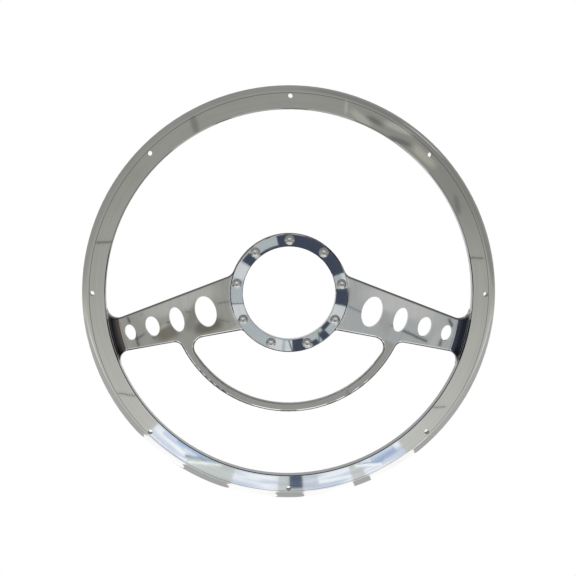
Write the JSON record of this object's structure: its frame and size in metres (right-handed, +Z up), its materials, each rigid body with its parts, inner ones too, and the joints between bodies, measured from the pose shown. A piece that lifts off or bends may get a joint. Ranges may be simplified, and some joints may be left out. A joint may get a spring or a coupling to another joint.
{
  "type": "steering wheel",
  "caption": "Bare polished metal boat steering wheel with drooping spokes pierced by oval holes, a curved lower bar and a ring screwed to the front of an open hub.",
  "frame": {"origin": "centre of the circle of hub screws, in the plane of the hub's back face", "axes": "+Z up as the wheel is mounted upright, +X to the helmsman's right, +Y along the wheel's axis, away from the helmsman and towards the steering shaft, so the face looks towards -Y"},
  "size_m": [0.3936, 0.029, 0.3936],
  "materials": {
    "polished_plate": "polished",
    "polished_ring": "mirror polished",
    "screw_steel": "polished"
  },
  "bodies": {
    "root": {"wheel_frame": "polished_plate", "hub_ring": "polished_ring", "hub_screws": "screw_steel"}
  },
  "joints": []
}
